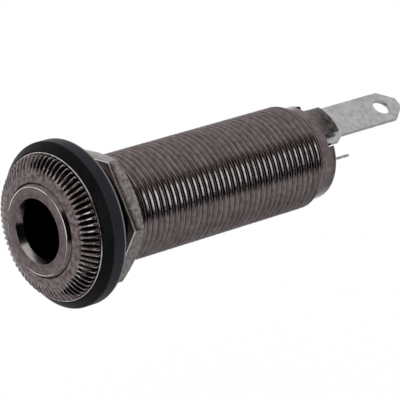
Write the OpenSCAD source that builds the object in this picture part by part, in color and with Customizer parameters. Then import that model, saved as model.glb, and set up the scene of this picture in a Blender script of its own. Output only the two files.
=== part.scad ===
// Quarter inch phone jack for panel mounting. A long threaded barrel carries a knurled ring nut,
// a rubber washer and a hex nut outside, and two leaf contacts on a rear insulator stack inside.
// Millimetres. The axis lies along Y: the socket faces -Y and the solder lugs point to +Y.
// The plane y = 0 is the back of the rubber washer, which seats on the panel.
// Angles round the axis start at +X and turn toward +Z.

/* [Socket and nose] */
// Diameter of the plug bore
bore_d = 6.5; // [6.4:0.05:6.8]
// Diameter of the lead-in cone at the mouth
lead_in_d = 7.2; // [7:0.1:7.8]
// Depth of the lead-in cone
lead_in_l = 0.8; // [0.4:0.1:1.4]
// Depth of the plug bore, from the mouth to the contact chamber
bore_depth = 9; // [7:0.5:12]
// Diameter of the nose that the ring nut screws on
nose_d = 10.3; // [9.6:0.1:10.6]
// Height of the mouth in front of the panel seat
nose_front = 4.55; // [4.3:0.05:5.5]

/* [Barrel] */
// Outside diameter of the long thread
thread_d = 11.9; // [11.6:0.1:12.6]
// Pitch of the long thread
thread_pitch = 0.794; // [0.7:0.002:0.9]
// Length of the long thread behind the panel seat
thread_end = 32.2; // [30:0.2:40]
// Wall under the thread
barrel_wall = 0.62; // [0.45:0.01:0.7]
// Length of the plain collar behind the thread
collar_l = 2.45; // [2:0.05:4]
// Length of the straight rim tab behind the collar
tab_l = 1.45; // [0.5:0.05:3]
// Angle that the rim tab spans over the sleeve lug
tab_angle = 42; // [36:1:48]
// Angle of the slot on each side of the tab
slot_angle = 15.5; // [14.5:0.5:18]

/* [Ring nut] */
// Outside diameter of the ring nut
ring_d = 16.2; // [15.4:0.1:17.2]
// Height of the ring nut's face over the washer
ring_h = 1.55; // [1.4:0.05:1.7]
// Diameter of the smooth face inside the knurl
face_d = 12.6; // [12:0.1:13]
// Height of the plain rim behind the knurl
rim_h = 0.3; // [0.2:0.05:0.45]
// Number of knurl teeth
teeth = 72; // [48:1:76]

/* [Rubber washer] */
// Outside diameter of the washer
washer_d = 18.2; // [17.6:0.1:22]
// Thickness of the washer
washer_t = 2.4; // [2:0.1:2.6]
// Width of the washer's front bevel
washer_bevel = 0.8; // [0.2:0.05:1]

/* [Hex nut] */
// Width across the flats
nut_af = 13.5; // [13.4:0.1:17]
// Thickness of the nut
nut_t = 2; // [1.4:0.1:4]
// Gap between the panel seat and the nut
nut_gap = 2.3; // [2.1:0.1:12]
// Angle of one corner of the nut
nut_angle = 3; // [0:1:59]

/* [Contacts] */
// Angle of the normal of both contact lugs
contact_angle = 115; // [110:1:125]
// Distance of each contact lug from the axis
lug_offset = 1.75; // [1.5:0.05:1.9]
// Thickness of the contact lugs
lug_t = 0.3; // [0.25:0.05:0.5]
// Width of the contact lugs inside the insulators
lug_w = 3.4; // [2.9:0.1:3.6]
// Length of the contact lugs behind the collar
lug_l = 6.1; // [4:0.1:8]
// Thickness of the contact leaves
leaf_t = 0.35; // [0.2:0.05:0.4]
// Width of the contact leaves
leaf_w = 2.4; // [1.6:0.1:2.6]
// Depth of the tip contact behind the mouth
tip_depth = 26.45; // [26:0.05:27]
// Depth of the ring contact behind the mouth
ring_depth = 21.05; // [20:0.05:22]
// Length of the insulator stack
stack_l = 5; // [4:0.1:5.5]

/* [Sleeve lug] */
// Angle of the sleeve lug round the axis
sleeve_angle = 59; // [55:1:62]
// Width of the sleeve lug
sleeve_w = 4.2; // [3.4:0.05:4.3]
// Thickness of the sleeve lug
sleeve_t = 0.5; // [0.3:0.05:0.6]
// Length of the sleeve lug behind the collar
sleeve_l = 12.95; // [10:0.05:18]
// Diameter of the hole in the sleeve lug
sleeve_hole = 2.1; // [1.2:0.1:2.4]

/* [Hidden] */
$fn = 96;
// Clearances: fixed parts, screwed parts, and parts that face each other
fixed_gap = 0.02;
screw_gap = 0.03;
seat_gap = 0.05;
// How far cuts run past the piece that they cut
cut = 1;
// Long thread: 60 degree form, with flats on crest and root
thread_r = thread_d / 2;
thread_depth = 0.54 * thread_pitch;
crest_l = thread_pitch / 8;
flank_l = thread_depth * tan(30);
root_r = thread_r - thread_depth;
nose_r = nose_d / 2;
nose_edge = 0.3;
shoulder = -0.6;
turns = floor((thread_end - shoulder) / thread_pitch);
// Barrel inside and its rear rim
cavity_r = root_r - barrel_wall;
cavity_start = bore_depth - nose_front;
collar_r = root_r - 0.12;
collar_end = thread_end + collar_l;
tab_top = collar_end + tab_l;
roll_t = 0.4;
roll_r = cavity_r - 0.45;
roll_edge = 0.25;
tab_start = sleeve_angle - tab_angle / 2;
tab_end = sleeve_angle + tab_angle / 2;
slot_start = tab_start - slot_angle;
slot_end = tab_end + slot_angle;
slot_y = collar_end - 0.95;
rim_cut = 10;
// Ring nut
ring_r = ring_d / 2;
ring_back = -washer_t - seat_gap;
ring_face = ring_back - ring_h;
rim_front = ring_back - rim_h;
boss_r = thread_r - 0.1;
face_dish = 0.15;
face_r = face_d / 2;
bevel_w = ring_r - face_r;
bevel_h = rim_front - ring_face;
knurl_slope = atan(bevel_h / bevel_w);
crown_r = face_r + 0.56 * bevel_w;
crown_y = ring_face + 0.37 * bevel_h;
groove_start = -0.15;
groove_l = norm([bevel_w, bevel_h]) + 0.4;
groove_in = 0.1;
groove_h = 0.33;
groove_w = 0.25;
// Rubber washer
washer_r = washer_d / 2;
washer_bore = thread_r + 0.1;
washer_edge = 0.15;
// Hex nut: chamfered on its rear face only
nut_corner = nut_af / 2 / cos(30);
nut_face_r = nut_af / 2 - 0.1;
nut_bore = thread_r + screw_gap;
nut_bore_edge = 0.3;
nut_slope = 30;
// Insulators
liner_r = cavity_r - fixed_gap;
liner_t = 0.42;
liner_in = liner_r - liner_t;
stack_end = collar_end - roll_t - fixed_gap;
stack_start = stack_end - stack_l;
split = lug_offset + lug_t / 2;
lug_inner = lug_offset - lug_t / 2;
// Contact lugs and leaves
lug_start = stack_start - 1;
tail_w = 2.8;
tail_hole_d = 1.3;
tail_hole_back = 1.5;
weld_gap = 0.08;
weld_l = 0.9;
leaf_root = split + weld_gap + leaf_t / 2;
leaf_knee = 0.2;
leaf_rise = 2;
leaf_r = liner_in - 1.16;
leaf_bow = 0.15;
lip_l = 1.6;
tip_y = tip_depth - nose_front;
tip_reach = 2.25 + leaf_t / 2;
tip_lip = 0.4;
ring_y = ring_depth - nose_front;
ring_reach = 2.75 + leaf_t / 2;
ring_dip = 1.7;
ring_lip = 0.45;
leaf_bend = 0.7;
bend_steps = 6;
// Sleeve lug
sleeve_out = sqrt(pow(cavity_r - fixed_gap, 2) - pow(sleeve_w / 2, 2));
sleeve_in = sleeve_out - sleeve_t;
sleeve_flat = sleeve_in - fixed_gap;
sleeve_start = stack_start + 0.8;
sleeve_end = collar_end + sleeve_l;
sleeve_hole_back = 2.75;
sleeve_taper = 1.9;
sleeve_tip_w = 1.3;
wing_w = 0.7;
wing_start = slot_y + 0.2;
wing_end = collar_end + 2.15;
wing_taper = 1.2;

// Unit vector, its left normal, and the mitre at point i of a path
function unit(v) = v / norm(v);
function left(v) = [-v[1], v[0]];
function before(p, i) = unit(i > 0 ? p[i] - p[i - 1] : p[1] - p[0]);
function after(p, i) = i < len(p) - 1 ? unit(p[i + 1] - p[i]) : before(p, i);
function mitre(p, i) =
  let (n = unit(left(before(p, i)) + left(after(p, i))))
  n / (n * left(before(p, i)));
// A path with each inner corner replaced by a smooth bend
function bent(p) = concat(
  [p[0]],
  [
    for (i = [1 : len(p) - 2], k = [0 : bend_steps])
    let (
      t = k / bend_steps,
      a = p[i] - before(p, i) * leaf_bend,
      b = p[i] + after(p, i) * leaf_bend
    )
    (1 - t) * (1 - t) * a + 2 * t * (1 - t) * p[i] + t * t * b
  ],
  [p[len(p) - 1]]
);
// The outline of a strip of thickness t along a path
function strip_outline(p, t) = concat(
  [for (i = [0 : len(p) - 1]) p[i] + mitre(p, i) * t / 2],
  [for (i = [len(p) - 1 : -1 : 0]) p[i] - mitre(p, i) * t / 2]
);

// Turns parts drawn along Z so that their axis lies along Y
module on_axis() {
  rotate([-90, 0, 0]) children();
}

// Turns parts so that their X axis points out at an angle round the axis
module at_angle(a) {
  rotate([0, 0, -a]) children();
}

// A plate drawn flat, width across and length along the axis, from radius r outward
module plate(r, t) {
  translate([r, 0, 0]) rotate([90, 0, 90]) linear_extrude(t) children();
}

// A wedge of a disc between two angles
module sector(a0, a1, r, y0, y1) {
  steps = ceil((a1 - a0) / 15);
  arc = [for (k = [0 : steps]) let (a = a0 + (a1 - a0) * k / steps) [r * cos(a), -r * sin(a)]];
  translate([0, 0, y0]) linear_extrude(y1 - y0) polygon(concat([[0, 0]], arc));
}

// The long thread drawn as rings at the pitch
function thread_rows() = [
  for (i = [0 : turns - 1], k = [0 : 3])
  let (y = shoulder + i * thread_pitch)
  [
    [thread_r, y],
    [thread_r, y + crest_l],
    [root_r, y + crest_l + flank_l],
    [root_r, y + thread_pitch - flank_l]
  ][k]
];

// Barrel turned from one bar, with the rim rolled in over the insulators except at the tab
module threaded_barrel() {
  color("#4a443f") on_axis() difference() {
    rotate_extrude() polygon(concat(
      [
        [lead_in_d / 2, -nose_front],
        [nose_r - nose_edge, -nose_front],
        [nose_r, nose_edge - nose_front],
        [nose_r, shoulder]
      ],
      thread_rows(),
      [
        [root_r, thread_end],
        [collar_r, thread_end],
        [collar_r, tab_top],
        [cavity_r, tab_top],
        [cavity_r, collar_end],
        [roll_r, collar_end],
        [roll_r, collar_end - roll_t],
        [cavity_r, collar_end - roll_t],
        [cavity_r, cavity_start],
        [bore_d / 2, cavity_start],
        [bore_d / 2, lead_in_l - nose_front]
      ]
    ));
    sector(tab_end, tab_start + 360, rim_cut, collar_end, tab_top + cut);
    intersection() {
      sector(tab_end, tab_start + 360, rim_cut, slot_y, tab_top);
      rotate_extrude() polygon([
        [collar_r - roll_edge - cut, collar_end + cut],
        [collar_r + cut, collar_end - roll_edge - cut],
        [collar_r + cut, collar_end + cut]
      ]);
    }
    intersection() {
      sector(slot_start, slot_end, rim_cut, slot_y, tab_top + cut);
      translate([0, 0, slot_y]) cylinder(r = cavity_r + fixed_gap, h = tab_top);
    }
    sector(slot_start, tab_start, rim_cut, slot_y, tab_top + cut);
    sector(tab_end, slot_end, rim_cut, slot_y, tab_top + cut);
  }
}

// Ring nut with a crowned bevel, cut by a groove between each pair of teeth
module knurled_ring_nut() {
  color("#57504a") on_axis() difference() {
    rotate_extrude() polygon([
      [nose_r + screw_gap, ring_face + face_dish],
      [face_r, ring_face],
      [crown_r, crown_y],
      [ring_r, rim_front],
      [ring_r, ring_back],
      [boss_r, ring_back],
      [boss_r, shoulder - seat_gap],
      [nose_r + screw_gap, shoulder - seat_gap]
    ]);
    for (i = [0 : teeth - 1])
      at_angle(i * 360 / teeth)
        translate([face_r, 0, ring_face])
          rotate([0, -knurl_slope, 0])
            plate(groove_start, groove_l)
              polygon([
                [0, groove_in],
                [-groove_w, groove_in - groove_h],
                [groove_w, groove_in - groove_h]
              ]);
  }
}

// Soft washer, bevelled toward the ring nut
module rubber_washer() {
  color("#1c1c20") on_axis() rotate_extrude() polygon([
    [washer_bore, -washer_t],
    [washer_r - washer_bevel, -washer_t],
    [washer_r, washer_bevel - washer_t],
    [washer_r, -washer_edge],
    [washer_r - washer_edge, 0],
    [washer_bore, 0]
  ]);
}

// Thin nut with sharp front edges and a chamfered back
module hex_nut() {
  color("#6a625c") on_axis() translate([0, 0, nut_gap]) difference() {
    intersection() {
      at_angle(nut_angle) cylinder(r = nut_corner, h = nut_t, $fn = 6);
      rotate_extrude() polygon([
        [0, 0],
        [nut_corner + cut, 0],
        [nut_corner + cut, nut_t - (nut_corner + cut - nut_face_r) * tan(nut_slope)],
        [nut_face_r, nut_t],
        [0, nut_t]
      ]);
    }
    rotate_extrude() polygon([
      [0, -cut],
      [nut_bore + nut_bore_edge + cut, -cut],
      [nut_bore, nut_bore_edge],
      [nut_bore, nut_t - nut_bore_edge],
      [nut_bore + nut_bore_edge + cut, nut_t + cut],
      [0, nut_t + cut]
    ]);
  }
}

// Plastic tube that keeps the leaves off the barrel
module insulating_liner() {
  color("#232326") on_axis() rotate_extrude() polygon([
    [liner_in, cavity_start + fixed_gap],
    [liner_r, cavity_start + fixed_gap],
    [liner_r, stack_start - fixed_gap],
    [liner_in, stack_start - fixed_gap]
  ]);
}

// The round of the insulator stack, with the flat that the sleeve lug lies on
module stack_round() {
  difference() {
    translate([0, 0, stack_start]) cylinder(r = liner_r, h = stack_l);
    at_angle(sleeve_angle)
      translate([sleeve_flat, -rim_cut, stack_start - cut])
        cube([rim_cut, 2 * rim_cut, stack_l + 2 * cut]);
  }
}

// Outer insulator: everything beyond one lug, counted from the axis
module outer_insulator(a) {
  on_axis() intersection() {
    stack_round();
    at_angle(a)
      translate([split + fixed_gap, -rim_cut, stack_start - cut])
        cube([rim_cut, 2 * rim_cut, stack_l + 2 * cut]);
  }
}

module upper_insulator() {
  color("#5b4632") outer_insulator(contact_angle);
}

module lower_insulator() {
  color("#5b4632") outer_insulator(contact_angle + 180);
}

// Middle insulator with a shallow channel for each lug
module middle_insulator() {
  color("#6b5138") on_axis() difference() {
    intersection() {
      stack_round();
      at_angle(contact_angle)
        translate([-split, -rim_cut, stack_start - cut])
          cube([2 * split, 2 * rim_cut, stack_l + 2 * cut]);
    }
    for (side = [0, 180])
      at_angle(contact_angle + side)
        translate([lug_inner - fixed_gap, -lug_w / 2 - fixed_gap, stack_start - cut])
          cube([rim_cut, lug_w + 2 * fixed_gap, stack_l + 2 * cut]);
  }
}

// Sleeve lug, held under the rim tab, with a wing in one slot beside the tab
module sleeve_lug() {
  half = sleeve_w / 2;
  color("#b4b3b5") on_axis() at_angle(sleeve_angle) plate(sleeve_in, sleeve_t) difference() {
    union() {
      polygon([
        [-half, sleeve_start],
        [half, sleeve_start],
        [half, sleeve_end - sleeve_taper],
        [sleeve_tip_w / 2, sleeve_end],
        [-sleeve_tip_w / 2, sleeve_end],
        [-half, sleeve_end - sleeve_taper]
      ]);
      polygon([
        [0, wing_start],
        [half + wing_w, wing_start],
        [half + wing_w, wing_end],
        [half, wing_end + wing_taper],
        [0, wing_end + wing_taper]
      ]);
    }
    translate([0, sleeve_end - sleeve_hole_back]) circle(d = sleeve_hole);
  }
}

// Flat lug of one contact, through the stack, with a narrower tail
module contact_lug(a) {
  tail_end = collar_end + lug_l;
  on_axis() at_angle(a) plate(lug_inner, lug_t) difference() {
    union() {
      translate([-lug_w / 2, lug_start]) square([lug_w, stack_end - lug_start]);
      translate([-tail_w / 2, lug_start]) square([tail_w, tail_end - tail_w / 2 - lug_start]);
      translate([0, tail_end - tail_w / 2]) circle(d = tail_w);
    }
    translate([0, tail_end - tail_hole_back]) circle(d = tail_hole_d);
  }
}

// Leaf welded to the front end of its lug, bent out round the plug and in again at the contact
module contact_leaf(a, path) {
  on_axis() at_angle(a)
    rotate([90, 0, 0])
      linear_extrude(leaf_w, center = true)
        polygon(strip_outline(bent(path), leaf_t));
}

module ring_lug() {
  color("#c9c7c2") contact_lug(contact_angle);
}

module tip_lug() {
  color("#c9c7c2") contact_lug(contact_angle + 180);
}

module ring_spring() {
  color("#c7a45a") contact_leaf(contact_angle, [
    [leaf_root, lug_start + weld_l],
    [leaf_root, lug_start - leaf_knee],
    [leaf_r + leaf_bow, lug_start - leaf_rise],
    [leaf_r + 2 * leaf_bow, ring_y + ring_dip],
    [ring_reach, ring_y],
    [ring_reach + ring_lip, ring_y - lip_l]
  ]);
}

module tip_spring() {
  color("#c7a45a") contact_leaf(contact_angle + 180, [
    [leaf_root, lug_start + weld_l],
    [leaf_root, lug_start - leaf_knee],
    [leaf_r, lug_start - leaf_rise],
    [tip_reach, tip_y],
    [tip_reach + tip_lip, tip_y - lip_l]
  ]);
}

threaded_barrel();
knurled_ring_nut();
rubber_washer();
hex_nut();
insulating_liner();
upper_insulator();
middle_insulator();
lower_insulator();
sleeve_lug();
tip_lug();
tip_spring();
ring_lug();
ring_spring();
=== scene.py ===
import math

import bmesh
import bpy
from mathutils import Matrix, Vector


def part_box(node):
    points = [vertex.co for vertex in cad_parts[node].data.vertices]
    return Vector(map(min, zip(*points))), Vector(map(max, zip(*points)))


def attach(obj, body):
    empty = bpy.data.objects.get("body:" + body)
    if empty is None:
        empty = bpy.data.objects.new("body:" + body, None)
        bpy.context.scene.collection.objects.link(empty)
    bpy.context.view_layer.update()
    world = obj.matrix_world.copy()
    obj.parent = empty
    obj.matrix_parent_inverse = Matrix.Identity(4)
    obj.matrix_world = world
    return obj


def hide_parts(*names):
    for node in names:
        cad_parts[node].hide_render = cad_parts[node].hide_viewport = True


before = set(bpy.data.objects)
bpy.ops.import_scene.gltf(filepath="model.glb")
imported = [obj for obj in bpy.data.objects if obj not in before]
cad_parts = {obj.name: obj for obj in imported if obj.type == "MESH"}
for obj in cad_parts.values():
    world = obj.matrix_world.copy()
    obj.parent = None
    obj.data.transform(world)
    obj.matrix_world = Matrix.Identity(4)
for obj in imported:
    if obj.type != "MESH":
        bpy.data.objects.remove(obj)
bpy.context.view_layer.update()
mm = 0.001

# Camera. The jack is seen from its front right and a little above through a long lens, so the barrel
# runs away to the upper right and its lines stay almost parallel.
view_azimuth = math.radians(47.287)
view_elevation = math.radians(19.102)
view_distance = 327.907 * mm
view_aim = Vector((8.7798, 10.6250, 2.1831)) * mm
view_back = Vector((
    math.sin(view_azimuth) * math.cos(view_elevation),
    -math.cos(view_azimuth) * math.cos(view_elevation),
    math.sin(view_elevation),
))
bpy.ops.object.select_all(action="DESELECT")
bpy.ops.object.camera_add(location=view_aim + view_back * view_distance)
camera = bpy.context.object
camera.rotation_euler = view_back.to_track_quat("Z", "Y").to_euler()
camera.data.sensor_width = 36
camera.data.lens = 278.547
camera.data.clip_start = 0.01
camera.data.clip_end = 20
bpy.context.scene.camera = camera

# Threaded barrel. One long brass turning with a plug bore in its coned nose, a cut thread, and a plain
# collar whose rim is rolled in over the insulators, except for a tab that stays straight over the sleeve
# lug. The whole barrel is plated with black nickel, worn round the nose and stained at its rear end, with
# painted shade in the thread's roots and a painted glare low in the plug's mouth.
barrel_low, barrel_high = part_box("threaded_barrel")
thread_r = barrel_high.x
nose_front = barrel_low.y
tab_top = barrel_high.y
thread_pitch = 0.794 * mm
thread_depth = 0.325 * mm
thread_end = 32.2 * mm
thread_run_out = 0.45 * mm
crest_clear = 0.001 * mm
root_clear = 0.01 * mm
shoulder_clear = 0.05 * mm
root_r = thread_r - thread_depth
bore_r = 3.25 * mm
bore_edge = 0.04 * mm
bore_flare = 0.0175 * mm
lead_in_r = 3.6 * mm
lead_in_y = nose_front + 0.8 * mm
nose_r = 5.15 * mm
nose_round = 0.06 * mm
nose_edge_r = 4.84 * mm
nose_cone_y = -4.13 * mm
shoulder = -0.6 * mm
cavity_r = 4.901 * mm
cavity_start = 4.45 * mm
collar_r = 5.401 * mm
collar_end = 34.65 * mm
roll_r = 4.451 * mm
roll_t = 0.4 * mm
rim_round = 0.3 * mm
tab_angles = (38, 80)
slot_angle = 15.5
slot_y = 33.7 * mm
tab_foot = 0.5 * mm
tab_round = 0.12 * mm
turned_steps = 120
facet_angle = 3
weld = 1e-7
nearby = 1e-6


def rounded(corners, steps=4):
    """The outline through (radius, y, fillet) corners, with an arc of that fillet in each of them."""
    outline = []
    for k, (radius, y, fillet) in enumerate(corners):
        corner = Vector((radius, y))
        before = (Vector(corners[k - 1][:2]) - corner).normalized()
        after = (Vector(corners[(k + 1) % len(corners)][:2]) - corner).normalized()
        if fillet == 0:
            outline.append((radius, y))
            continue
        half = before.angle(after) / 2
        centre = corner + (before + after).normalized() * (fillet / math.sin(half))
        first = corner + before * (fillet / math.tan(half)) - centre
        last = corner + after * (fillet / math.tan(half)) - centre
        for step in range(steps + 1):
            spoke = first.slerp(last, step / steps) * fillet
            outline.append((centre.x + spoke.x, centre.y + spoke.y))
    return outline


def settle():
    """Puts the active piece's place, turn and scale into its mesh."""
    bpy.ops.object.transform_apply(location=True, rotation=True, scale=True)


def end_editing():
    """Turns all faces of the piece in edit mode outwards and leaves that mode."""
    bpy.ops.mesh.select_all(action="SELECT")
    bpy.ops.mesh.normals_make_consistent(inside=False)
    bpy.ops.object.mode_set(mode="OBJECT")


def turned(name, outline, steps):
    """A closed turning on the jack's axis: a circle extruded and resized along an outline."""
    bpy.ops.object.select_all(action="DESELECT")
    radius, y = outline[0]
    bpy.ops.mesh.primitive_circle_add(
        vertices=steps, radius=radius, location=(0, y, 0), rotation=(math.pi / 2, 0, 0))
    piece = bpy.context.object
    piece.name = piece.data.name = name
    settle()
    bpy.ops.object.mode_set(mode="EDIT")
    bpy.ops.mesh.select_all(action="SELECT")
    for (r0, y0), (r1, y1) in zip(outline, outline[1:]):
        bpy.ops.mesh.extrude_region_move(TRANSFORM_OT_translate={"value": (0, y1 - y0, 0)})
        bpy.ops.transform.resize(value=(r1 / r0, 1, r1 / r0), center_override=(0, y1, 0))
    bpy.ops.mesh.select_all(action="DESELECT")
    bpy.ops.mesh.select_non_manifold()
    bpy.ops.mesh.bridge_edge_loops()
    end_editing()
    return piece


def sector(first_angle, last_angle, inner_r, outer_r, low_y, high_y):
    """A block round the axis: a rectangle spun between two angles, counted from +X towards +Z."""
    bpy.ops.object.select_all(action="DESELECT")
    bpy.ops.mesh.primitive_plane_add(size=1, location=((inner_r + outer_r) / 2, (low_y + high_y) / 2, 0))
    block = bpy.context.object
    block.scale = (outer_r - inner_r, high_y - low_y, 1)
    settle()
    block.rotation_euler = (0, -math.radians(first_angle), 0)
    settle()
    bpy.ops.object.mode_set(mode="EDIT")
    bpy.ops.mesh.select_all(action="SELECT")
    sweep = last_angle - first_angle
    bpy.ops.mesh.spin(
        steps=max(4, int(sweep / facet_angle)), angle=math.radians(sweep), center=(0, 0, 0), axis=(0, 1, 0))
    bpy.ops.mesh.select_all(action="SELECT")
    bpy.ops.mesh.remove_doubles(threshold=weld)
    end_editing()
    return block


def activate(piece):
    """Makes one piece the only one selected, for the operators that follow."""
    bpy.ops.object.select_all(action="DESELECT")
    piece.select_set(True)
    bpy.context.view_layer.objects.active = piece


def combine(piece, tool, operation):
    """Joins a shape to a piece, cuts it out or keeps what both share. The shape is then taken away."""
    cut = piece.modifiers.new("cut", "BOOLEAN")
    cut.operation = operation
    cut.solver = "EXACT"
    cut.object = tool
    activate(piece)
    bpy.ops.object.modifier_apply(modifier="cut")
    bpy.data.objects.remove(tool)
    bpy.ops.object.mode_set(mode="EDIT")
    bpy.ops.mesh.select_all(action="SELECT")
    bpy.ops.mesh.remove_doubles(threshold=weld)
    bpy.ops.object.mode_set(mode="OBJECT")


def soften(piece, width, steps=2, angle=30):
    """Breaks a piece's sharp edges with a small bevel and smooths what is curved."""
    activate(piece)
    edge = piece.modifiers.new("edge", "BEVEL")
    edge.width = width
    edge.segments = steps
    edge.limit_method = "ANGLE"
    edge.angle_limit = math.radians(angle)
    edge.use_clamp_overlap = False
    bpy.ops.object.modifier_apply(modifier="edge")
    bpy.ops.object.shade_smooth_by_angle(angle=math.radians(angle))


def dress(piece, finish):
    """Gives a piece one material all over."""
    piece.data.materials.clear()
    piece.data.materials.append(finish)


def feed(tree, target, inputs):
    """Gives a shader node's inputs their values, or links them to other nodes' outputs."""
    for name, value in inputs.items():
        if isinstance(value, bpy.types.NodeSocket):
            tree.links.new(value, target.inputs[name])
        else:
            target.inputs[name].default_value = value


def node(tree, kind, inputs=None, **settings):
    """Adds a shader node. Each of its inputs takes a value or another node's output."""
    made = tree.nodes.new("ShaderNode" + kind)
    for name, value in settings.items():
        setattr(made, name, value)
    feed(tree, made, inputs or {})
    return made


def new_material(name):
    """A material with a bare Principled shader. Gives the material, its tree and the shader."""
    made = bpy.data.materials.new(name)
    made.use_nodes = True
    return made, made.node_tree, made.node_tree.nodes["Principled BSDF"]


def remap(tree, value, low, high, new_low=0.0, new_high=1.0):
    """A value stretched from one range to another, and held inside it."""
    inputs = {"Value": value, "From Min": low, "From Max": high, "To Min": new_low, "To Max": new_high}
    return node(tree, "MapRange", inputs).outputs["Result"]


def blend_colours(tree, factor, first, second):
    """One colour going over into another by a mask."""
    inputs = {"Factor": factor, 6: first, 7: second}
    return node(tree, "Mix", inputs, data_type="RGBA").outputs[2]


# The unevenness that every finish of the jack shares: broad clouds, a fine grain and small scattered pits.
surface_noise = bpy.data.node_groups.new("surface_noise", "ShaderNodeTree")
for label, start in (("Cloud scale", 400.0), ("Grain scale", 6000.0), ("Pit scale", 3000.0)):
    socket = surface_noise.interface.new_socket(label, in_out="INPUT", socket_type="NodeSocketFloat")
    socket.default_value = start
for label in ("Clouds", "Grain", "Pits"):
    surface_noise.interface.new_socket(label, in_out="OUTPUT", socket_type="NodeSocketFloat")
noise_in = surface_noise.nodes.new("NodeGroupInput").outputs
noise_out = surface_noise.nodes.new("NodeGroupOutput").inputs
noise_place = node(surface_noise, "TexCoord").outputs["Object"]
clouds = node(surface_noise, "TexNoise", {
    "Vector": noise_place, "Scale": noise_in["Cloud scale"], "Detail": 5.0}).outputs["Fac"]
grain = node(surface_noise, "TexNoise", {
    "Vector": noise_place, "Scale": noise_in["Grain scale"], "Detail": 2.0}).outputs["Fac"]
pits = node(surface_noise, "TexVoronoi", {
    "Vector": noise_place, "Scale": noise_in["Pit scale"]}).outputs["Distance"]
surface_noise.links.new(remap(surface_noise, clouds, 0.37, 0.63), noise_out["Clouds"])
surface_noise.links.new(remap(surface_noise, grain, 0.3, 0.7), noise_out["Grain"])
surface_noise.links.new(remap(surface_noise, pits, 0.12, 0.3, 1.0, 0.0), noise_out["Pits"])


def uneven(tree, scales=None):
    """The shared unevenness, placed in a material with its own scales."""
    return node(tree, "Group", scales, node_tree=surface_noise).outputs


def bumps(tree, height, strength, depth):
    """A normal that follows small heights of the surface."""
    return node(tree, "Bump", {"Strength": strength, "Distance": depth, "Height": height}).outputs["Normal"]


def axis_place(tree):
    """How far a point of the surface is from the jack's axis, and how far along it."""
    place = node(tree, "TexCoord").outputs["Object"]
    across = node(tree, "VectorMath", {0: place, 1: (1, 0, 1)}, operation="MULTIPLY").outputs[0]
    reach = node(tree, "VectorMath", {0: across}, operation="LENGTH").outputs["Value"]
    return reach, node(tree, "SeparateXYZ", {0: place}).outputs["Y"]


def within(tree, value, low, high):
    """A mask that is 1 where a value lies in a range."""
    inputs = {0: value, 1: (low + high) / 2, 2: (high - low) / 2}
    return node(tree, "Math", inputs, operation="COMPARE").outputs[0]


def times(tree, first, second):
    """Two values or masks multiplied."""
    return node(tree, "Math", {0: first, 1: second}, operation="MULTIPLY").outputs[0]


def larger(tree, first, second):
    """The larger of two values or masks."""
    return node(tree, "Math", {0: first, 1: second}, operation="MAXIMUM").outputs[0]


def turning_marks(tree, reach, along):
    """Fine rings that the turning tool has left, as a faint mask."""
    spot = node(tree, "CombineXYZ", {0: reach, 1: along}).outputs[0]
    rings = node(tree, "TexNoise", {"Vector": spot, "Scale": 6000.0, "Detail": 3.0}).outputs["Fac"]
    return remap(tree, rings, 0.42, 0.72, 0.0, 0.45)


def plated(name, bright, dull, polish, pitting, marks, cloud_scale=1500.0):
    """Plated metal with clouds of a duller tone, small pits and a fine uneven skin.

    The piece's own marks are two masks: where dirt and painted shade make it nearly black, and where wear
    and a painted glare make it bright and rougher."""
    made, tree, shader = new_material(name)
    noise = uneven(tree, {"Cloud scale": cloud_scale, "Grain scale": 5000.0})
    tone = blend_colours(tree, noise["Clouds"], bright + (1,), dull + (1,))
    pit_mask = times(tree, noise["Pits"], pitting)
    tone = blend_colours(tree, pit_mask, tone, tuple(0.45 * c for c in dull) + (1,))
    dirt_and_shade, wear_and_glare = marks(tree, noise)
    # Dirt, and painted shade in hollows, turn the tone nearly black.
    tone = blend_colours(tree, dirt_and_shade, tone, (0.016, 0.011, 0.010, 1))
    # Wear, and a painted glare in the plug's mouth, turn it light grey.
    tone = blend_colours(tree, wear_and_glare, tone, (0.62, 0.60, 0.58, 1))
    rough = remap(tree, noise["Grain"], 0.0, 1.0, polish[0], polish[1])
    rough = larger(tree, rough, times(tree, wear_and_glare, 0.42))
    dents = node(tree, "Math", {0: noise["Grain"], 1: pit_mask}, operation="SUBTRACT").outputs[0]
    feed(tree, shader, {
        "Base Color": tone, "Roughness": rough, "Metallic": 1.0,
        "Normal": bumps(tree, dents, 0.12, 0.02 * mm)})
    return made


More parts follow.
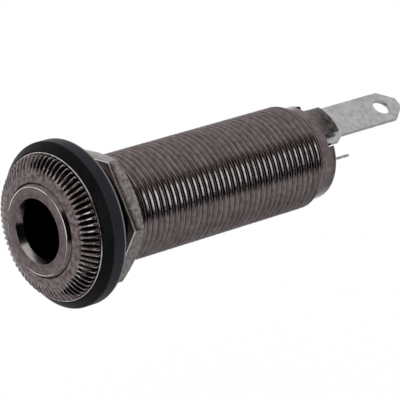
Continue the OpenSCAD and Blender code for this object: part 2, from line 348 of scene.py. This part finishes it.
def barrel_marks(tree, noise):
    """Painted shade in the thread's roots and stain on the collar, wear on the crests and in patches round
    the nose's front edge, and a painted glare low in the plug's mouth."""
    reach, along = axis_place(tree)
    on_thread = within(tree, along, shoulder, thread_end - 0.05 * mm)
    # Painted shade: the thread grows darker towards its roots.
    root_shade = remap(tree, reach, thread_r - 0.15 * mm, root_r + 0.02 * mm, 0.0, 0.6)
    stain = times(
        tree, remap(tree, along, thread_end + 0.8 * mm, collar_end + 0.3 * mm, 0.0, 0.92),
        remap(tree, noise["Clouds"], 0.0, 1.0, 0.65, 1.0))
    crest = remap(tree, reach, thread_r - 0.05 * mm, thread_r, 0.0, 0.14)
    at_nose = within(tree, along, nose_front - 0.1 * mm, lead_in_y)
    place = node(tree, "TexCoord").outputs["Object"]
    patches = node(tree, "TexNoise", {"Vector": place, "Scale": 330.0, "Detail": 1.0}).outputs["Fac"]
    lip = times(tree, within(tree, reach, nose_edge_r - 0.11 * mm, nose_edge_r + 0.005 * mm),
                remap(tree, patches, 0.42, 0.6, 0.05, 1.0))
    height = node(tree, "SeparateXYZ", {0: place}).outputs["Z"]
    # Painted glare: the lower part of the plug's mouth is made light grey.
    mouth_glare = times(tree, remap(tree, reach, lead_in_r + 0.02 * mm, lead_in_r - 0.04 * mm),
                  remap(tree, height, -1.6 * mm, -2.1 * mm, 0.0, 0.5))
    dirt_and_shade = larger(tree, times(tree, root_shade, on_thread), stain)
    dirt_and_shade = larger(tree, dirt_and_shade, turning_marks(tree, reach, along))
    wear_and_glare = times(tree, larger(tree, lip, mouth_glare), at_nose)
    return dirt_and_shade, larger(tree, times(tree, crest, on_thread), wear_and_glare)


black_nickel = plated(
    "black_nickel", (0.173, 0.140, 0.144), (0.111, 0.086, 0.087), (0.12, 0.2), 0.25, barrel_marks)

barrel = turned("barrel", rounded([
    (bore_r, cavity_start, 0),
    (bore_r, lead_in_y + bore_edge, 0),
    (bore_r, lead_in_y, 0),
    (bore_r + bore_flare, lead_in_y - bore_edge, 0),
    (lead_in_r, nose_front, nose_round),
    (nose_edge_r, nose_front, nose_round),
    (nose_r, nose_cone_y, 0),
    (nose_r, shoulder, 0),
    (root_r - shoulder_clear, shoulder, 0),
    (thread_r + crest_clear, shoulder + thread_run_out, 0),
    (thread_r + crest_clear, thread_end - thread_run_out, 0),
    (root_r - root_clear, thread_end, 0),
    (collar_r, thread_end, 0),
    (collar_r, collar_end, rim_round),
    (roll_r, collar_end, 0),
    (roll_r, collar_end - roll_t, 0),
    (cavity_r, collar_end - roll_t, 0),
    (cavity_r, cavity_start, 0),
]), turned_steps)

# The tab is joined to the rim, the roll under it is cut away, and so are the slots on both sides of it. All
# these shapes overlap and stay clear of each other's faces, so that every cut is clean.
cut_clear = 0.02 * mm
tab_first, tab_last = tab_angles[0] - slot_angle / 2, tab_angles[1] + slot_angle / 2
inside_r, outside_r = 0.8 * roll_r, 1.2 * collar_r
above_tab = tab_top + mm
tab = sector(tab_first, tab_last, cavity_r + cut_clear, collar_r - cut_clear, slot_y - tab_foot, tab_top)
soften(tab, tab_round, steps=3)
combine(barrel, tab, "UNION")
combine(barrel, sector(
    tab_first, tab_last, inside_r, cavity_r + 2 * cut_clear, collar_end - roll_t - cut_clear, above_tab),
    "DIFFERENCE")
for slot_start in (tab_angles[0] - slot_angle, tab_angles[1]):
    combine(barrel, sector(
        slot_start, slot_start + slot_angle, inside_r, outside_r, slot_y, above_tab), "DIFFERENCE")

# The thread is one tooth's outline, repeated and wound round the axis, and cut to the barrel's outline.
thread_turns = 56
thread_start = -6 * mm
thread_over = 0.3 * mm
tooth_points = 10
tooth = [
    ((math.cos(math.tau * k / tooth_points) - math.cos(math.tau * (k + 1) / tooth_points)) * thread_depth / 2,
     thread_pitch / tooth_points)
    for k in range(tooth_points)
]
bpy.ops.object.select_all(action="DESELECT")
bpy.ops.mesh.primitive_plane_add(size=mm, location=(root_r, thread_start, 0))
thread = bpy.context.object
settle()
bpy.ops.object.mode_set(mode="EDIT")
bpy.ops.mesh.select_all(action="SELECT")
bpy.ops.mesh.merge(type="CENTER")
bpy.ops.mesh.select_all(action="SELECT")
for out, along in tooth:
    bpy.ops.mesh.extrude_region_move(TRANSFORM_OT_translate={"value": (out, along, 0)})
bpy.ops.object.mode_set(mode="OBJECT")
turns = thread.modifiers.new("turns", "ARRAY")
turns.use_relative_offset = False
turns.use_constant_offset = True
turns.constant_offset_displace = (0, thread_pitch, 0)
turns.count = thread_turns
turns.use_merge_vertices = True
turns.merge_threshold = nearby
helix = thread.modifiers.new("helix", "SCREW")
helix.axis = "Y"
helix.angle = math.radians(360)
helix.screw_offset = thread_pitch
helix.steps = helix.render_steps = turned_steps
bpy.ops.object.modifier_apply(modifier="turns")
bpy.ops.object.modifier_apply(modifier="helix")
bpy.ops.object.mode_set(mode="EDIT")
bpy.ops.mesh.select_all(action="SELECT")
bpy.ops.mesh.remove_doubles(threshold=nearby)
for end_y, outward in ((nose_front - thread_over, -1), (tab_top + thread_over, 1)):
    bpy.ops.mesh.select_all(action="SELECT")
    bpy.ops.mesh.bisect(
        plane_co=(0, end_y, 0), plane_no=(0, outward, 0), use_fill=True, clear_outer=True, threshold=weld)
end_editing()
combine(barrel, thread, "INTERSECT")
bpy.ops.object.shade_smooth_by_angle(angle=math.radians(48))
dress(barrel, black_nickel)
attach(barrel, "body")
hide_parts("threaded_barrel")

# Knurled ring nut. A turned brass ring screwed onto the nose, which clamps the panel. Its bevel is
# knurled into 72 short ridges between the smooth face and a thin rim, and it is plated like the barrel.
ring_low, ring_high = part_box("knurled_ring_nut")
ring_r = ring_high.x
ring_back = -2.45 * mm
rim_front = -2.75 * mm
rim_lip = -2.62 * mm
face_y = ring_low.y
face_crown = face_y - 0.16 * mm
face_points = ((5.7 * mm, face_crown + 0.04 * mm), (6.05 * mm, face_crown + 0.1 * mm))
face_r = 6.3 * mm
ring_bore = 5.18 * mm
boss_r = 5.85 * mm
boss_end = ring_high.y
crown_r = 7.31 * mm
crown_y = -3.54 * mm
teeth = 72
columns = 12
groove_depth = 0.33 * mm
groove_share = 0.8
ring_edge = 0.03 * mm
back_edge = 0.04 * mm


def ramp(value, start, end):
    """Goes from 0 at start to 1 at end."""
    return min(1.0, max(0.0, (value - start) / (end - start)))


bevel_shares = (0, 0.03, 0.07, 0.12, 0.18, 0.26, 0.36, 0.46, 0.56, 0.66, 0.75, 0.83, 0.89, 0.93, 0.97)
bevel_start, bevel_end = Vector((face_r, face_y)), Vector((ring_r, rim_front))
bulge = Vector((crown_r, crown_y)) - (bevel_start + bevel_end) / 2
bevel_line = [
    bevel_start.lerp(bevel_end, share) + bulge * 4 * share * (1 - share) for share in bevel_shares]
ring_nut = turned("ring_nut", [
    (ring_bore, face_crown + ring_edge), (ring_bore + ring_edge, face_crown), *face_points, *bevel_line,
    (ring_r - 0.08 * mm, rim_lip), (ring_r - ring_edge, rim_lip + 0.01 * mm), (ring_r, rim_lip + 0.05 * mm),
    (ring_r, ring_back - back_edge), (ring_r - back_edge, ring_back),
    (boss_r, ring_back), (boss_r, boss_end), (ring_bore, boss_end)], teeth * columns)
bpy.ops.object.mode_set(mode="EDIT")
ring_mesh = bmesh.from_edit_mesh(ring_nut.data)
groove_mask = ring_mesh.verts.layers.float.new("groove")
ridge_mask = ring_mesh.verts.layers.float.new("ridge")
tooth_rows = {}
for vertex in ring_mesh.verts:
    place = round(math.atan2(vertex.co.z, vertex.co.x) / math.tau * teeth * columns) % columns
    spot = Vector((math.hypot(vertex.co.x, vertex.co.z), vertex.co.y))
    for row, row_spot in enumerate(bevel_line):
        if (spot - row_spot).length < nearby:
            tooth_rows.setdefault((row, min(place, columns - place)), []).append(vertex)
inward = Vector((bevel_start.y - bevel_end.y, bevel_end.x - bevel_start.x)).normalized()
for (row, column), vertices in tooth_rows.items():
    share, (row_r, row_y) = bevel_shares[row], bevel_line[row]
    beside = column / (columns / 2)
    groove = groove_depth * max(0.0, ramp(share, -0.02, 0.2) - beside / groove_share)
    depth = max(groove, 0.85 * groove_depth * ramp(share, 0.88, 0.97))
    bpy.ops.mesh.select_all(action="DESELECT")
    for vertex in vertices:
        vertex.select = True
        vertex[groove_mask] = groove / groove_depth
        ridge_end = max(ramp(share, 0.3, 0.08), ramp(share, 0.68, 0.86))
        vertex[ridge_mask] = ramp(beside, 0.7, 1.0) * ramp(share, 0.02, 0.07) * (0.25 + 0.75 * ridge_end)
    ring_mesh.select_flush_mode()
    bmesh.update_edit_mesh(ring_nut.data)
    shrink = (row_r + inward.x * depth) / row_r
    bpy.ops.transform.resize(value=(shrink, 1, shrink), center_override=(0, row_y, 0))
    bpy.ops.transform.translate(value=(0, inward.y * depth, 0))
end_editing()
activate(ring_nut)
bpy.ops.object.shade_smooth_by_angle(angle=math.radians(40))


def ring_marks(tree, noise):
    """Painted shade in the knurl's grooves, wear on its ridges and on the rim."""
    reach, along = axis_place(tree)
    groove = node(tree, "Attribute", attribute_name="groove").outputs["Fac"]
    # Painted shade: the deeper a point lies in a knurl groove, the nearer to black it is made.
    dirt_and_shade = larger(tree, remap(tree, groove, 0.1, 0.6, 0.0, 0.85), turning_marks(tree, reach, along))
    ridge = times(tree, node(tree, "Attribute", attribute_name="ridge").outputs["Fac"], 0.5)
    rim = times(tree, within(tree, reach, ring_r - 0.09 * mm, ring_r + 0.02 * mm), 0.8)
    return dirt_and_shade, times(tree, larger(tree, ridge, rim), remap(tree, noise["Clouds"], 0.0, 1.0, 1.0, 0.5))


knurled_nickel = plated(
    "knurled_nickel", (0.210, 0.174, 0.180), (0.080, 0.058, 0.058), (0.12, 0.2), 0.3, ring_marks, 2200.0)
dress(ring_nut, knurled_nickel)
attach(ring_nut, "ring_nut")
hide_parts("knurled_ring_nut")

# Rubber washer. A thick moulded ring that rests behind the ring nut and beds on the panel, of black
# rubber with a satin skin, a bevelled front and soft edges.
washer_low, washer_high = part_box("rubber_washer")
washer_r = -washer_low.x
washer_bore = 6.05 * mm
washer_bevel = 0.8 * mm
washer_steps = 144
washer = turned("washer", rounded([
    (washer_bore, washer_low.y, 0.1 * mm),
    (washer_r - washer_bevel, washer_low.y, 0.15 * mm),
    (washer_r, washer_low.y + washer_bevel, 0.08 * mm),
    (washer_r, washer_high.y, 0.18 * mm),
    (washer_bore, washer_high.y, 0.1 * mm),
], steps=5), washer_steps)
bpy.ops.object.shade_smooth_by_angle(angle=math.radians(35))
rubber, rubber_tree, rubber_shader = new_material("black_rubber")
rubber_noise = uneven(rubber_tree, {"Cloud scale": 700.0, "Grain scale": 9000.0})
rubber_reach, rubber_along = axis_place(rubber_tree)
rubber_wall = remap(rubber_tree, rubber_reach, washer_r - 0.08 * mm, washer_r - 0.03 * mm)
# Painted highlight: a thin light grey line along the rear edge of the washer's outer wall.
rubber_rim_highlight = times(
    rubber_tree, remap(rubber_tree, rubber_along, washer_high.y - 0.3 * mm, washer_high.y - 0.22 * mm),
    remap(rubber_tree, rubber_reach, washer_r - 0.3 * mm, washer_r - 0.2 * mm))
skin_tone = blend_colours(
    rubber_tree, rubber_noise["Clouds"], (0.0025, 0.0025, 0.0027, 1), (0.005, 0.005, 0.0054, 1))
wall_tone = blend_colours(
    rubber_tree, rubber_noise["Clouds"], (0.028, 0.027, 0.035, 1), (0.034, 0.033, 0.042, 1))
rubber_tone = blend_colours(rubber_tree, rubber_wall, skin_tone, wall_tone)
feed(rubber_tree, rubber_shader, {
    "Base Color": blend_colours(rubber_tree, rubber_rim_highlight, rubber_tone, (0.32, 0.32, 0.33, 1)),
    "Roughness": remap(rubber_tree, rubber_noise["Grain"], 0.0, 1.0, 0.38, 0.52),
    "Specular IOR Level": 0.06,
    "Normal": bumps(rubber_tree, rubber_noise["Grain"], 0.25, 0.02 * mm)})
dress(washer, rubber)
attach(washer, "body")
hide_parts("rubber_washer")

# Hex nut. A thin pressed brass nut that runs on the long thread and clamps the panel from behind, with
# the corners of its rear face turned off. Its plating is paler than the barrel's and a little pitted.
nut_low, nut_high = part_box("hex_nut")
nut_corner = 7.79 * mm
nut_bore = 5.98 * mm
nut_countersink = 0.3 * mm
nut_face_r = 6.65 * mm
nut_turn = 3
nut_edge = 0.1 * mm
nut_steps = 96
bpy.ops.object.select_all(action="DESELECT")
bpy.ops.mesh.primitive_cylinder_add(
    vertices=6, radius=nut_corner, depth=nut_high.y - nut_low.y,
    location=(0, (nut_low.y + nut_high.y) / 2, 0), rotation=(math.pi / 2, 0, 0))
hex_nut = bpy.context.object
hex_nut.name = hex_nut.data.name = "clamping_nut"
settle()
hex_nut.rotation_euler = (0, -math.radians(nut_turn - 30), 0)
settle()
tool_r = nut_corner + 0.5 * mm
turned_off = (tool_r - nut_face_r) * math.tan(math.radians(30))
nut_tool = turned("nut_tool", [
    (nut_bore, nut_low.y + nut_countersink),
    (nut_bore + nut_countersink, nut_low.y),
    (tool_r, nut_low.y),
    (tool_r, nut_high.y - turned_off),
    (nut_face_r, nut_high.y),
    (nut_bore + nut_countersink, nut_high.y),
    (nut_bore, nut_high.y - nut_countersink),
], nut_steps)
combine(hex_nut, nut_tool, "INTERSECT")
soften(hex_nut, nut_edge, steps=3, angle=20)


def nut_marks(tree, noise):
    """Wear along the edge of the front face."""
    reach, along = axis_place(tree)
    edge = times(tree, within(tree, along, nut_low.y - 0.02 * mm, nut_low.y + 0.12 * mm),
                 remap(tree, reach, nut_face_r - 0.1 * mm, nut_face_r + 0.05 * mm))
    return 0.0, edge


nut_plate = plated(
    "nut_nickel", (0.262, 0.232, 0.232), (0.125, 0.107, 0.105), (0.16, 0.28), 0.6, nut_marks, 2200.0)
dress(hex_nut, nut_plate)
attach(hex_nut, "nut")
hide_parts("hex_nut")

# Insulating liner. A thin black plastic tube pushed into the barrel, which keeps the contact leaves off
# the metal. Only its front end can be seen, through the plug bore.
liner, liner_tree, liner_shader = new_material("liner_plastic")
liner_noise = uneven(liner_tree)
feed(liner_tree, liner_shader, {
    "Base Color": blend_colours(
        liner_tree, liner_noise["Clouds"], (0.009, 0.009, 0.010, 1), (0.014, 0.014, 0.015, 1)),
    "Roughness": remap(liner_tree, liner_noise["Grain"], 0.0, 1.0, 0.5, 0.62)})
dress(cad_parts["insulating_liner"], liner)

# Insulator layers. Three stamped layers of brown laminated board, stacked with the lugs between them and
# held in the barrel's rear end by its rolled rim. Their cut edges show the sheets of the laminate.
board_angle = 115
board, board_tree, board_shader = new_material("insulator_board")
board_noise = uneven(board_tree, {"Cloud scale": 900.0})
board_place = node(board_tree, "TexCoord").outputs["Object"]
board_turn = node(board_tree, "Mapping", {
    "Vector": board_place, "Rotation": (0, math.radians(board_angle), 0)})
board_sheets = node(board_tree, "TexWave", {
    "Vector": board_turn.outputs["Vector"], "Scale": 1600.0, "Distortion": 1.5, "Detail": 2.0,
    "Detail Scale": 0.6}).outputs["Fac"]
board_tone = blend_colours(
    board_tree, board_noise["Clouds"], (0.19, 0.105, 0.055, 1), (0.13, 0.068, 0.036, 1))
board_lines = remap(board_tree, board_sheets, 0.0, 0.35, 0.45, 0.0)
feed(board_tree, board_shader, {
    "Base Color": blend_colours(board_tree, board_lines, board_tone, (0.075, 0.038, 0.02, 1)),
    "Roughness": remap(board_tree, board_noise["Grain"], 0.0, 1.0, 0.45, 0.65),
    "Normal": bumps(board_tree, board_sheets, 0.3, 0.03 * mm)})
for layer in ("upper_insulator", "middle_insulator", "lower_insulator"):
    dress(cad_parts[layer], board)

# Solder lugs. Flat lugs stamped from brass strip and dull tin plated: a long one to the barrel itself, with
# a pointed end and a small ear in the rim's slot, and two short ones between the insulator layers.
sleeve_angle = 59
sleeve_t = 0.5 * mm
sleeve_inner = 3.906 * mm
sleeve_w = 4.2 * mm
sleeve_start = 30.03 * mm
sleeve_end = 47.6 * mm
sleeve_taper = 1.9 * mm
sleeve_tip_w = 1.3 * mm
sleeve_hole_y = 44.85 * mm
sleeve_hole_r = 1.05 * mm
ear_w = 0.7 * mm
ear_start = 33.9 * mm
ear_end = 36.8 * mm
ear_taper = 1.2 * mm
stamped_edge = 0.045 * mm


def strip(name, width, low_y, high_y):
    """A flat rectangle of strip lying across +Z, left in edit mode."""
    bpy.ops.object.select_all(action="DESELECT")
    bpy.ops.mesh.primitive_plane_add(size=1, location=(0, (low_y + high_y) / 2, 0))
    piece = bpy.context.object
    piece.name = piece.data.name = name
    piece.scale = (width, high_y - low_y, 1)
    settle()
    bpy.ops.object.mode_set(mode="EDIT")
    bpy.ops.mesh.select_all(action="SELECT")
    return piece


def choose(piece, wanted):
    """Selects the vertices of a piece in edit mode whose place is the wanted one."""
    mesh = bmesh.from_edit_mesh(piece.data)
    bpy.ops.mesh.select_all(action="DESELECT")
    for vertex in mesh.verts:
        vertex.select = wanted(vertex.co)
    mesh.select_flush_mode()
    bmesh.update_edit_mesh(piece.data)


def stand(piece, thickness, hole_y, hole_r, angle, inner):
    """Gives a strip its thickness and hole, breaks its edges and stands it at its angle round the axis."""
    bpy.ops.mesh.select_all(action="SELECT")
    bpy.ops.mesh.extrude_region_move(TRANSFORM_OT_translate={"value": (0, 0, thickness)})
    end_editing()
    bpy.ops.object.select_all(action="DESELECT")
    bpy.ops.mesh.primitive_cylinder_add(
        vertices=48, radius=hole_r, depth=3 * thickness, location=(0, hole_y, thickness / 2))
    combine(piece, bpy.context.object, "DIFFERENCE")
    soften(piece, stamped_edge)
    piece.location = (0, 0, inner)
    settle()
    piece.rotation_euler = (0, math.radians(90 - angle), 0)
    settle()


tin, tin_tree, tin_shader = new_material("tinned_brass")
tin_noise = uneven(tin_tree, {"Cloud scale": 1600.0, "Grain scale": 5200.0})
tin_tone = blend_colours(tin_tree, tin_noise["Clouds"], (0.430, 0.430, 0.440, 1), (0.365, 0.360, 0.365, 1))
tin_marks = times(tin_tree, tin_noise["Pits"], 0.35)
feed(tin_tree, tin_shader, {
    "Base Color": blend_colours(tin_tree, tin_marks, tin_tone, (0.36, 0.35, 0.34, 1)),
    "Roughness": remap(tin_tree, tin_noise["Clouds"], 0.0, 1.0, 0.28, 0.46),
    "Metallic": 1.0,
    "Normal": bumps(tin_tree, tin_noise["Grain"], 0.2, 0.02 * mm)})

sleeve = strip("long_lug", sleeve_w, sleeve_start, sleeve_end)
for cut_y in (ear_start, ear_end):
    bpy.ops.mesh.select_all(action="SELECT")
    bpy.ops.mesh.bisect(plane_co=(0, cut_y, 0), plane_no=(0, 1, 0), threshold=weld)
choose(sleeve, lambda co: co.x > 0.4 * sleeve_w and ear_start - nearby < co.y < ear_end + nearby)
bpy.ops.mesh.extrude_region_move(TRANSFORM_OT_translate={"value": (ear_w, 0, 0)})
choose(sleeve, lambda co: co.x > 0.6 * sleeve_w and co.y > ear_end - nearby)
bpy.ops.transform.translate(value=(0, -ear_taper, 0))
corner_run = (sleeve_w - sleeve_tip_w) / 2
for side in (-1, 1):
    bpy.ops.mesh.select_all(action="SELECT")
    bpy.ops.mesh.bisect(
        plane_co=(side * sleeve_tip_w / 2, sleeve_end, 0), plane_no=(side * sleeve_taper, corner_run, 0),
        clear_outer=True, threshold=weld)
stand(sleeve, sleeve_t, sleeve_hole_y, sleeve_hole_r, sleeve_angle, sleeve_inner)
dress(sleeve, tin)
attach(sleeve, "body")
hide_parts("sleeve_lug")

contact_angle = 115
lug_inner = 1.6 * mm
lug_t = 0.3 * mm
lug_w = 3.4 * mm
lug_tail_w = 2.8 * mm
lug_start = 28.23 * mm
lug_tail_start = 34.23 * mm
lug_end = 40.75 * mm
lug_hole_y = 39.25 * mm
lug_hole_r = 0.65 * mm
lug_step = 0.01 * mm
for lug_name, lug_node, lug_angle in (
        ("ring_contact_lug", "ring_lug", contact_angle), ("tip_contact_lug", "tip_lug", contact_angle + 180)):
    lug = strip(lug_name, lug_w, lug_start, lug_tail_start)
    choose(lug, lambda co: co.y > lug_tail_start - nearby)
    bpy.ops.mesh.extrude_region_move(TRANSFORM_OT_translate={"value": (0, lug_step, 0)})
    bpy.ops.transform.resize(value=(lug_tail_w / lug_w, 1, 1), center_override=(0, lug_tail_start, 0))
    bpy.ops.mesh.extrude_region_move(
        TRANSFORM_OT_translate={"value": (0, lug_end - lug_tail_start - lug_step, 0)})
    choose(lug, lambda co: co.y > lug_end - nearby)
    bpy.ops.mesh.bevel(offset=0.49 * lug_tail_w, segments=10, affect="VERTICES")
    stand(lug, lug_t, lug_hole_y, lug_hole_r, lug_angle, lug_inner)
    dress(lug, tin)
    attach(lug, "body")
    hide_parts(lug_node)

# Contact leaves. Two bent leaves of bare spring bronze, welded to the short lugs, which press on the plug's
# tip and ring inside the barrel.
bronze, bronze_tree, bronze_shader = new_material("spring_bronze")
bronze_noise = uneven(bronze_tree, {"Cloud scale": 500.0})
feed(bronze_tree, bronze_shader, {
    "Base Color": blend_colours(
        bronze_tree, bronze_noise["Clouds"], (0.64, 0.48, 0.24, 1), (0.52, 0.37, 0.17, 1)),
    "Roughness": remap(bronze_tree, bronze_noise["Grain"], 0.0, 1.0, 0.2, 0.36),
    "Metallic": 1.0})
for leaf in ("tip_spring", "ring_spring"):
    dress(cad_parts[leaf], bronze)

# Studio. A white floor below the jack, an even white surround and a soft lamp at the camera's left. Out of the
# camera's sight, cards give the polished metal something to mirror: dark ones standing and lying at the
# right, and a brown one above the lamp. Only the metal sees a painted shadow on the floor under the jack.
floor_z = -30 * mm
floor_size = 6
bpy.ops.object.select_all(action="DESELECT")
bpy.ops.mesh.primitive_plane_add(size=floor_size, location=(0, 0, floor_z))
floor = bpy.context.object
floor.name = "floor"


def seen(tree):
    """A mask of the rays that come from the camera, off polished metal or through glass."""
    rays = node(tree, "LightPath").outputs
    straight_or_mirrored = larger(tree, rays["Is Camera Ray"], rays["Is Glossy Ray"])
    return larger(tree, straight_or_mirrored, rays["Is Transmission Ray"])


paper, paper_tree, paper_shader = new_material("white_paper")
feed(paper_tree, paper_shader, {
    "Base Color": (0.9, 0.9, 0.9, 1), "Roughness": 0.9, "Specular IOR Level": 0.0})
paper_spot = node(paper_tree, "SeparateXYZ", {0: node(paper_tree, "TexCoord").outputs["Object"]}).outputs
paper_aside = node(paper_tree, "Math", {0: paper_spot["X"]}, operation="ABSOLUTE").outputs[0]
# Painted shadow: under the jack the floor is darker, for rays off the metal only.
painted_shadow_under_jack = times(paper_tree, remap(paper_tree, paper_aside, 32 * mm, 12 * mm),
                   remap(paper_tree, paper_spot["Y"], -8 * mm, 0.0))
paper_shade = times(paper_tree, painted_shadow_under_jack, node(paper_tree, "LightPath").outputs["Is Glossy Ray"])
paper_glow = node(paper_tree, "Emission", {"Strength": remap(paper_tree, paper_shade, 0.0, 1.0, 1.02, 0.68)})
paper_mix = node(paper_tree, "MixShader", {
    0: times(paper_tree, seen(paper_tree), 0.95), 1: paper_shader.outputs["BSDF"],
    2: paper_glow.outputs["Emission"]})
feed(paper_tree, paper_tree.nodes["Material Output"], {"Surface": paper_mix.outputs["Shader"]})
dress(floor, paper)

world = bpy.context.scene.world or bpy.data.worlds.new("surround")
bpy.context.scene.world = world
world.use_nodes = True
surround = world.node_tree
feed(surround, surround.nodes["Background"], {
    "Color": (1.0, 1.0, 1.0, 1), "Strength": remap(surround, seen(surround), 0.0, 1.0, 0.7, 1.0)})

view_right = Vector((math.cos(view_azimuth), math.sin(view_azimuth), 0))
view_front = Vector((math.sin(view_azimuth), -math.cos(view_azimuth), 0))


def around(bearing, rise):
    """The direction at a bearing to the right of the camera and a rise above the horizon, in degrees."""
    level = view_front * math.cos(math.radians(bearing)) + view_right * math.sin(math.radians(bearing))
    return level * math.cos(math.radians(rise)) + Vector((0, 0, math.sin(math.radians(rise))))


card_distance = 0.6


def standing_card(name, bearing, middle, width, height, finish):
    """A card that stands round the jack at a bearing, turned towards it and out of the camera's sight."""
    way = around(bearing, 0)
    bpy.ops.object.select_all(action="DESELECT")
    bpy.ops.mesh.primitive_plane_add(size=1, location=way * card_distance + Vector((0, 0, middle)))
    made = bpy.context.object
    made.name = name
    made.rotation_euler = way.to_track_quat("Z", "Y").to_euler()
    made.scale = (width, height, 1)
    made.visible_camera = False
    dress(made, finish)
    return made


dark_bearing = 38
card_paper, card_tree, card_shader = new_material("dark_paper")
card_height = node(card_tree, "SeparateXYZ", {0: node(card_tree, "TexCoord").outputs["Object"]}).outputs["Y"]
card_fade = remap(card_tree, card_height, 0.18, 0.58)
feed(card_tree, card_shader, {
    "Base Color": blend_colours(card_tree, card_fade, (0.03, 0.03, 0.03, 1), (0.32, 0.20, 0.17, 1)),
    "Roughness": 1.0, "Specular IOR Level": 0.0})
card = standing_card("dark_card", dark_bearing, 0.25, 1.3, 1.06, card_paper)

card_way = around(dark_bearing, 0)
floor_card_near, floor_card_far = -0.082, -0.65
floor_card = strip("dark_floor_card", 1.3, floor_card_far, floor_card_near)
choose(floor_card, lambda co: co.y > floor_card_near - nearby)
bpy.ops.transform.resize(value=(0.18, 1, 1), center_override=(0, floor_card_near, 0))
bpy.ops.object.mode_set(mode="OBJECT")
floor_card.location = (0, 0, floor_z + 0.5 * mm)
floor_card.rotation_euler = (0, 0, math.atan2(card_way.x, -card_way.y))
floor_card.visible_camera = floor_card.visible_diffuse = floor_card.visible_shadow = False
dress(floor_card, card_paper)

brown_paper, brown_tree, brown_shader = new_material("brown_paper")
feed(brown_tree, brown_shader, {
    "Base Color": (0.55, 0.39, 0.33, 1), "Roughness": 1.0, "Specular IOR Level": 0.0})
brown_card = standing_card("brown_card", -36, 0.325, 0.62, 0.23, brown_paper)
brown_card.visible_diffuse = brown_card.visible_shadow = False

lamp_way = around(-17, 8)
lamp_distance = 0.22
bpy.ops.object.light_add(type="AREA", location=lamp_way * lamp_distance)
lamp = bpy.context.object
lamp.rotation_euler = lamp_way.to_track_quat("Z", "Y").to_euler()
lamp.data.shape = "RECTANGLE"
lamp.data.size = 0.09
lamp.data.size_y = 0.11
lamp.data.energy = 0.118
lamp.data.color = (0.84, 1.0, 0.98)
lamp.visible_camera = False

bpy.context.scene.view_settings.view_transform = "Standard"
